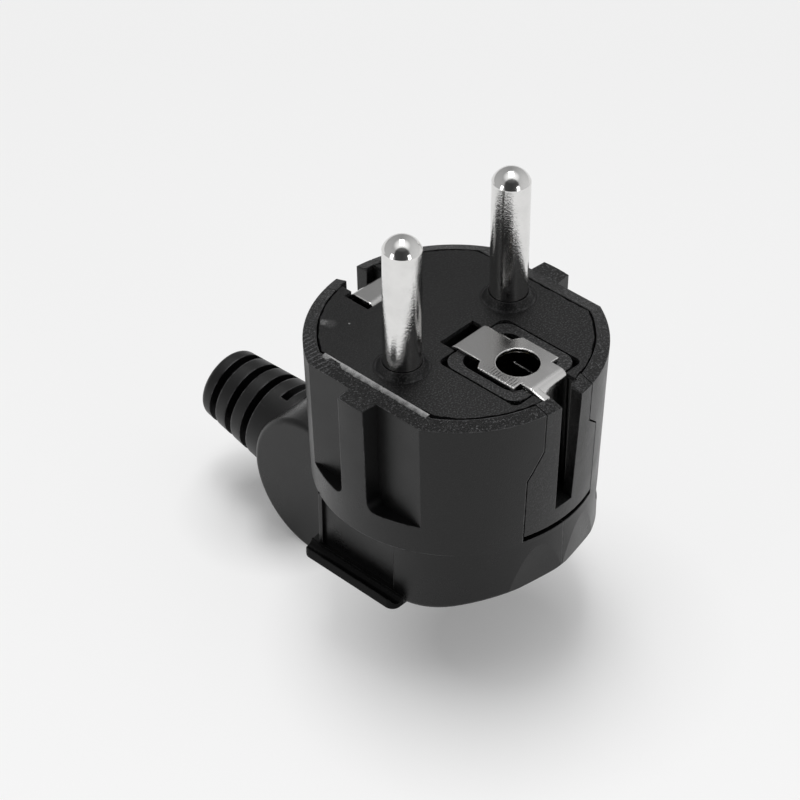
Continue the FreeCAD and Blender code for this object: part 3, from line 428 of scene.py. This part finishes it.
def rolled_metal(name, tint, edge, roughness, ribs=False):
    """Rolled or plated metal: drawn lines, a cloud of dulling, edges paler by a painted highlight, and ribs
    and a painted highlight paler to the front on the earth plate.
    """
    material, place = new_material(name)
    lines = place.node("Mapping", values={"Vector": place, "Scale": (1.0, 0.04, 0.04)})
    drawn = lines.noise(size=0.10 * MM, detail=3.0, roughness=0.6)
    cloud = place.noise(size=1.8 * MM, detail=4.0, roughness=0.6)
    rounded, rub_and_highlight = outer_edges(place, edge)
    pale = rgba(tint, 1.6)
    # Paler edges: a painted highlight along them, with rubbing
    base = rub_and_highlight.mix(cloud.ramp(0.35, 0.75).mix(rgba(tint), rgba(tint, 0.88)), pale)
    grain = place.noise(size=0.22 * MM, detail=2.0, roughness=0.7)
    height = drawn * 0.6 + grain * 1.1
    if ribs:
        x, y, _ = place.xyz()
        wave = place.math("SINE", y * (TURN / RIB_PITCH) + 2.5 * cloud)
        patch = x.within(*RIBS_ACROSS, 0.5 * MM) * y.within(*RIBS_ALONG, 0.3 * MM)
        height = height + wave * patch * 0.9
        # Painted highlight: the plate paler towards its front bend
        base = y.ramp(*FRONT_HIGHLIGHT, 0.5, 0.0).mix(base, pale)
    return finished(material, place.node("BsdfPrincipled", values={
        "Base Color": base, "Metallic": 1.0,
        "Roughness": roughness + 0.08 * cloud.ramp(0.4, 0.75) + 0.06 * (drawn - 0.5),
        "Normal": height.bump(strength=0.16, depth=0.03 * MM, normal=rounded)}))


def scraped_plastic(name, tint, edge):
    """Scraped pale plastic of the flash: fine crumbs over broad patches, with painted light making it paler
    to the inner edge and painted shade making it darker to the outer edge.
    """
    material, place = new_material(name)
    crumb = place.noise(size=0.09 * MM, detail=3.0, roughness=0.7)
    patch = place.noise(size=0.9 * MM, detail=3.0, roughness=0.6)
    # Painted light and shade across the flash: paler at its inner, upper edge, darker at its outer edge
    painted_light_inward = place.xyz()[0].ramp(FLASH_OUTER, FLASH_INNER - 0.01 * MM, -0.10, 0.14)
    shade = (0.55 * crumb + 0.45 * patch + painted_light_inward).ramp(0.34, 0.70)
    rounded = place.node("Bevel", samples=4, values={"Radius": edge})
    return finished(material, place.node("BsdfPrincipled", values={
        "Base Color": shade.mix(rgba(tint, 0.18), rgba(tint, 1.9)), "Roughness": 0.62,
        "Normal": crumb.bump(strength=0.5, depth=0.04 * MM, normal=rounded)}))


def paint(names, material):
    """Puts a material in every slot of the named CAD nodes."""
    for name in names:
        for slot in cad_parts[name].material_slots:
            slot.link = "OBJECT"
            slot.material = material


def grid_piece(name, points, material):
    """Piece that rides on the plug: a grid of points, closed round its second direction and at its ends."""
    rows, columns = points.shape[:2]
    index = np.arange(rows * columns).reshape(rows, columns)
    here = index[:-1]
    there = index[1:]
    faces = np.stack([here, np.roll(here, -1, axis=1), np.roll(there, -1, axis=1), there], axis=-1)
    ends = [index[0][::-1].tolist(), index[-1].tolist()]
    mesh = bpy.data.meshes.new(name)
    mesh.from_pydata(points.reshape(-1, 3).tolist(), [], faces.reshape(-1, 4).tolist() + ends)
    mesh.materials.append(material)
    piece = bpy.data.objects.new(name, mesh)
    bpy.context.scene.collection.objects.link(piece)
    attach(piece, "root")


def boxy(wave):
    """Sine or cosine raised to a small power with its sign kept, which makes a circle boxy."""
    return np.sign(wave) * np.abs(wave) ** 0.45


def flash_points(sizes):
    """Grid of the flash: a rounded rectangle carried along the left seam, from the rear to the front.

    Both edges waver by the mean of four sines. The outer edge is drawn in where the flash has broken off,
    near its rear end, and at a crack. The section's top falls outwards from the inner edge, and all of it
    follows the face and then the fall of the rim.
    """
    along = np.linspace(0.0, 1.0, FLASH_STATIONS)[:, None]
    turn = np.linspace(0.0, TURN, FLASH_SIDES, endpoint=False)[None, :]
    side = boxy(np.cos(turn))
    rise = boxy(np.sin(turn))
    y = sizes.flash_rear + (sizes.flash_front - sizes.flash_rear) * along
    place = y / MM
    waver = sum(np.sin(rate * place + shift) for rate, shift in WAVES) / len(WAVES)
    broken = np.clip((place - BROKEN_FRONT) / 0.7, 0.0, 1.0) * np.clip((BROKEN_REAR - place) / 0.3, 0.0, 1.0)
    crack = np.exp(-((place - CRACK) / 0.10) ** 2)
    inner = FLASH_INNER - 0.03 * MM * waver - 0.10 * MM * crack
    width = sizes.flash_width * (1.0 - 0.72 * broken - 0.25 * crack + 0.12 * waver[::-1])
    width = width - 0.06 * MM * (place < CRACK)
    x = inner - width * (0.5 - 0.5 * side)
    fall = np.clip(-x - RIM_EDGE, 0.0, None) * RIM_SLOPE
    top = sizes.flash_height * (1.0 + 0.5 * waver) * (0.55 + 0.45 * side) * (1.0 - 0.5 * broken)
    z = np.where(rise > 0.0, top * rise, FLASH_FOOT * rise) - fall
    return np.stack([x, np.broadcast_to(y, x.shape), z], axis=-1)


def settings():
    """The colours and the sizes that the panel shows."""
    scene = bpy.context.scene
    return scene.plug_colours, scene.plug_sizes


class PLUG_OT_shells(Operator):
    """Moulded finish of the two half shells"""

    bl_idname = "plug.shells"
    bl_label = "Half shells"

    def execute(self, context):
        colours, sizes = settings()
        paint(["left_shell", "right_shell"], moulded_plastic(
            "shell_plastic", colours.shell, grain=sizes.grain, edge=sizes.edge, roughness=0.32,
            strength=0.54, crumbs=5.0))
        return {"FINISHED"}


class PLUG_OT_carrier(Operator):
    """Moulded finish of the contact carrier, its pad and the cord clamp"""

    bl_idname = "plug.carrier"
    bl_label = "Contact carrier"

    def execute(self, context):
        colours, sizes = settings()
        paint(["contact_carrier"], moulded_plastic(
            "carrier_plastic", colours.carrier, grain=sizes.grain * 1.1, edge=sizes.edge * 0.6,
            roughness=0.34, strength=0.90, speckle=20.0, specular=0.36, crumbs=3.0, face=True))
        paint(["earth_well_frame", "cord_clamp"], moulded_plastic(
            "pad_plastic", colours.carrier, grain=sizes.grain * 1.3, edge=sizes.edge * 0.8,
            roughness=0.46, strength=1.17, speckle=24.0))
        return {"FINISHED"}


class PLUG_OT_flash(Operator):
    """Pale scraped flash along the left seam of the face"""

    bl_idname = "plug.flash"
    bl_label = "Seam flash"

    def execute(self, context):
        colours, sizes = settings()
        material = scraped_plastic("seam_flash", colours.flash, edge=sizes.edge * 0.3)
        grid_piece("seam_flash", flash_points(sizes), material)
        return {"FINISHED"}


class PLUG_OT_boot(Operator):
    """Soft satin finish of the cable boot"""

    bl_idname = "plug.boot"
    bl_label = "Cable boot"

    def execute(self, context):
        colours, sizes = settings()
        paint(["cable_boot"], moulded_plastic(
            "boot_rubber", colours.boot, grain=sizes.grain * 0.8, edge=sizes.edge * 2.0, roughness=0.42,
            strength=0.27))
        return {"FINISHED"}


class PLUG_OT_pins(Operator):
    """Bright plating of the two contact pins"""

    bl_idname = "plug.pins"
    bl_label = "Contact pins"

    def execute(self, context):
        colours, sizes = settings()
        paint(["contact_pin_left", "contact_pin_right"], bright_nickel(
            "pin_nickel", colours.nickel, edge=sizes.edge * 0.35))
        return {"FINISHED"}


class PLUG_OT_earth(Operator):
    """Rolled strip of the earth contacts and the socket spring"""

    bl_idname = "plug.earth"
    bl_label = "Earth contacts"

    def execute(self, context):
        colours, sizes = settings()
        paint(["earth_contact_front", "earth_contact_rear", "earth_socket_spring"], rolled_metal(
            "earth_strip", colours.strip, edge=sizes.edge * 1.3, roughness=0.16, ribs=True))
        return {"FINISHED"}


class PLUG_OT_fasteners(Operator):
    """Brass of the bridge, rivets and nut, and zinc plate of the screws"""

    bl_idname = "plug.fasteners"
    bl_label = "Bridge and fasteners"

    def execute(self, context):
        colours, sizes = settings()
        edge = sizes.edge * 0.5
        brass = rolled_metal("bridge_brass", colours.brass, edge, roughness=0.30)
        steel = rolled_metal("screw_steel", colours.steel, edge, roughness=0.34)
        paint(["earth_bridge", "front_rivet", "rear_rivet", "earth_terminal_nut"], brass)
        paint(["housing_screws", "pin_terminal_screws", "earth_terminal_screw", "earth_clamp_washer",
               "cord_clamp_screws"], steel)
        return {"FINISHED"}


class PLUG_OT_stage(Operator):
    """Pale studio floor, soft tent light with a dark opening at the camera, and the photograph's camera"""

    bl_idname = "plug.stage"
    bl_label = "Studio stage"

    def execute(self, context):
        colours, sizes = settings()
        right = Vector((math.cos(VIEW_AZIMUTH), math.sin(VIEW_AZIMUTH), 0.0))
        back = Vector((math.sin(VIEW_AZIMUTH), -math.cos(VIEW_AZIMUTH), 0.0)) * math.cos(VIEW_ELEVATION)
        back.z = math.sin(VIEW_ELEVATION)
        self.add_floor(context, colours.floor, back)
        self.add_tent(context, back, right)
        for name, place, size, watts in LAMPS:
            self.add_lamp(context, name, place, size, watts)
        self.add_camera(context, sizes.lens, back, right)
        context.scene.view_settings.view_transform = "Standard"
        return {"FINISHED"}

    def add_floor(self, context, tint, back):
        """Floor at the plug's lowest point, with painted shade a trace darker away from the camera.

        Where it is seen, directly or in a reflection, it glows a little as painted light, and less in the
        plug's shadows and under the elbow, which paints those shadows darker.
        """
        corners = [(-1, -1), (1, -1), (1, 1), (-1, 1)]
        mesh = bpy.data.meshes.new("floor")
        mesh.from_pydata(
            [(x * FLOOR_REACH, y * FLOOR_REACH, FLOOR_LEVEL) for x, y in corners], [], [(0, 1, 2, 3)])
        floor = bpy.data.objects.new("floor", mesh)
        context.scene.collection.objects.link(floor)
        material, place = new_material("floor_paper")
        toward = place.dot((back.x, back.y, 0.0))
        # Painted shade: the floor a trace darker away from the camera
        base = toward.ramp(*FLOOR_FADE).mix(rgba(tint, 0.93), rgba(tint))
        paper = place.node("BsdfPrincipled", values={
            "Base Color": base, "Roughness": 0.75, "Specular IOR Level": 0.2})
        # Painted light: the floor glows where it is seen
        glow = place.node("Emission", values={"Color": base, "Strength": 1.05})
        seen = sum(place.node("LightPath", pick=ray) for ray in SEEN_RAYS).ramp(0.0, 1.0)
        # Less glow round the shadow's middle and under the elbow: painted shadows
        clear = place.distance(SHADOW_PLACE).ramp(*SHADOW_REACH, 0.18, 0.70)
        clear = clear * place.distance(ELBOW_SHADOW_PLACE).ramp(*ELBOW_SHADOW_REACH, 0.25, 1.0)
        floor_with_painted_light = place.node("MixShader", values={0: seen * clear, 1: paper, 2: glow})
        mesh.materials.append(finished(material, floor_with_painted_light))

    def add_tent(self, context, back, right):
        """Tent walls as the world's light, with a dark opening round the camera.

        They are paler to both sides, most on the right, and palest overhead.
        """
        world = bpy.data.worlds.new("studio")
        world.use_nodes = True
        context.scene.world = world
        way = Socket(world.node_tree).node("TexCoord", pick="Generated")
        facing = way.dot(Vector((back.x, back.y, 0.56)).normalized())
        sideways = way.dot(right)
        walls = 0.34 + 0.28 * way.math("ABSOLUTE", sideways) + 0.12 * sideways
        overhead = way.xyz()[2].ramp(0.76, 0.97, 0.0, 0.8)
        level = (walls + overhead) * facing.ramp(0.70, 0.80, 1.0, 0.14)
        connect(world.node_tree.nodes["Background"], {"Color": (1.0, 1.0, 1.0, 1.0), "Strength": level})

    def add_lamp(self, context, name, place, size, watts):
        """Soft rectangular lamp turned to the plug."""
        light = bpy.data.lights.new(name, "AREA")
        light.shape = "RECTANGLE"
        light.size, light.size_y = size
        light.energy = watts
        lamp = bpy.data.objects.new(name, light)
        aim = (LAMP_AIM - place).to_track_quat("-Z", "Y").to_matrix().to_4x4()
        lamp.matrix_world = Matrix.Translation(place) @ aim
        context.scene.collection.objects.link(lamp)

    def add_camera(self, context, lens, back, right):
        """Camera at the photograph's place, turned by its small roll."""
        view = bpy.data.cameras.new("camera")
        view.lens = lens
        view.sensor_width = SENSOR_WIDTH
        view.sensor_fit = "HORIZONTAL"
        view.clip_start = 0.01
        view.clip_end = 20.0
        view.dof.use_dof = False
        camera = bpy.data.objects.new("camera", view)
        roll = Matrix.Rotation(VIEW_ROLL, 4, "Z")
        level = Matrix((right, back.cross(right), back)).transposed().to_4x4()
        camera.matrix_world = Matrix.Translation(VIEW_PLACE) @ level @ roll
        context.scene.collection.objects.link(camera)
        context.scene.camera = camera


STEPS = (
    PLUG_OT_shells, PLUG_OT_carrier, PLUG_OT_flash, PLUG_OT_boot, PLUG_OT_pins, PLUG_OT_earth,
    PLUG_OT_fasteners, PLUG_OT_stage,
)


class PLUG_PT_looks(Panel):
    """Sidebar panel with the colours, the sizes and a button for each step"""

    bl_idname = "PLUG_PT_looks"
    bl_label = "Plug looks"
    bl_space_type = "VIEW_3D"
    bl_region_type = "UI"
    bl_category = "Plug"

    def draw(self, context):
        for group in settings():
            for name in group.__annotations__:
                self.layout.prop(group, name)
        for step in STEPS:
            self.layout.operator(step.bl_idname)


CLASSES = (PlugColours, PlugSizes, *STEPS, PLUG_PT_looks)


def register():
    for cls in CLASSES:
        bpy.utils.register_class(cls)
    bpy.types.Scene.plug_colours = PointerProperty(type=PlugColours)
    bpy.types.Scene.plug_sizes = PointerProperty(type=PlugSizes)


def unregister():
    del bpy.types.Scene.plug_sizes
    del bpy.types.Scene.plug_colours
    for cls in reversed(CLASSES):
        bpy.utils.unregister_class(cls)


def main():
    register()
    bpy.ops.plug.shells()
    bpy.ops.plug.carrier()
    bpy.ops.plug.flash()
    bpy.ops.plug.boot()
    bpy.ops.plug.pins()
    bpy.ops.plug.earth()
    bpy.ops.plug.fasteners()
    bpy.ops.plug.stage()


if __name__ == "__main__":
    main()
